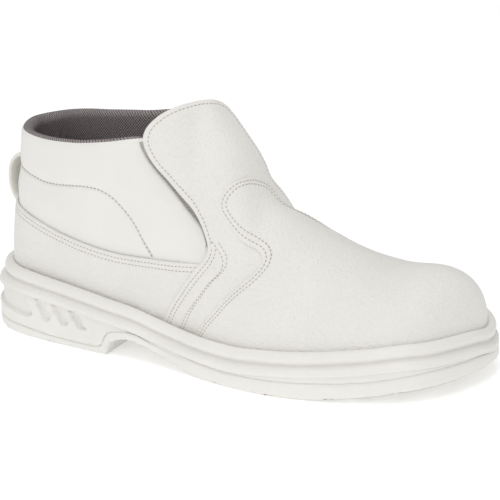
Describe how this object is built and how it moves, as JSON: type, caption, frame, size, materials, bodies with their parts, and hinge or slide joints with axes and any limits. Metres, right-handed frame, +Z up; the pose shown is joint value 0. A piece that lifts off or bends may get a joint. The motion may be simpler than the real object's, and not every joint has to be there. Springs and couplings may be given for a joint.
{
  "type": "slip-on safety boot",
  "caption": "Ankle-high slip-on safety boot for the right foot, with a wide instep flap over the throat, a padded collar, a heel pull loop and a moulded sole with heel and arch.",
  "frame": {"origin": "centre of the footprint's bounding box on the floor", "axes": "+X to the toe, +Y to the inner side of the foot, +Z up"},
  "size_m": [0.3004, 0.1115, 0.1485],
  "materials": {
    "sole": "satin moulded polyurethane, off-white",
    "upper": "matt, fine grain, off-white",
    "lining": "coarse dark mesh",
    "webbing": "woven tape"
  },
  "bodies": {
    "root": {"outsole": "sole", "midsole": "sole", "upper": "upper", "vamp": "upper", "instep_flap": "upper", "heel_counter": "upper", "insole": "lining", "pull_loop": "webbing"}
  },
  "joints": []
}
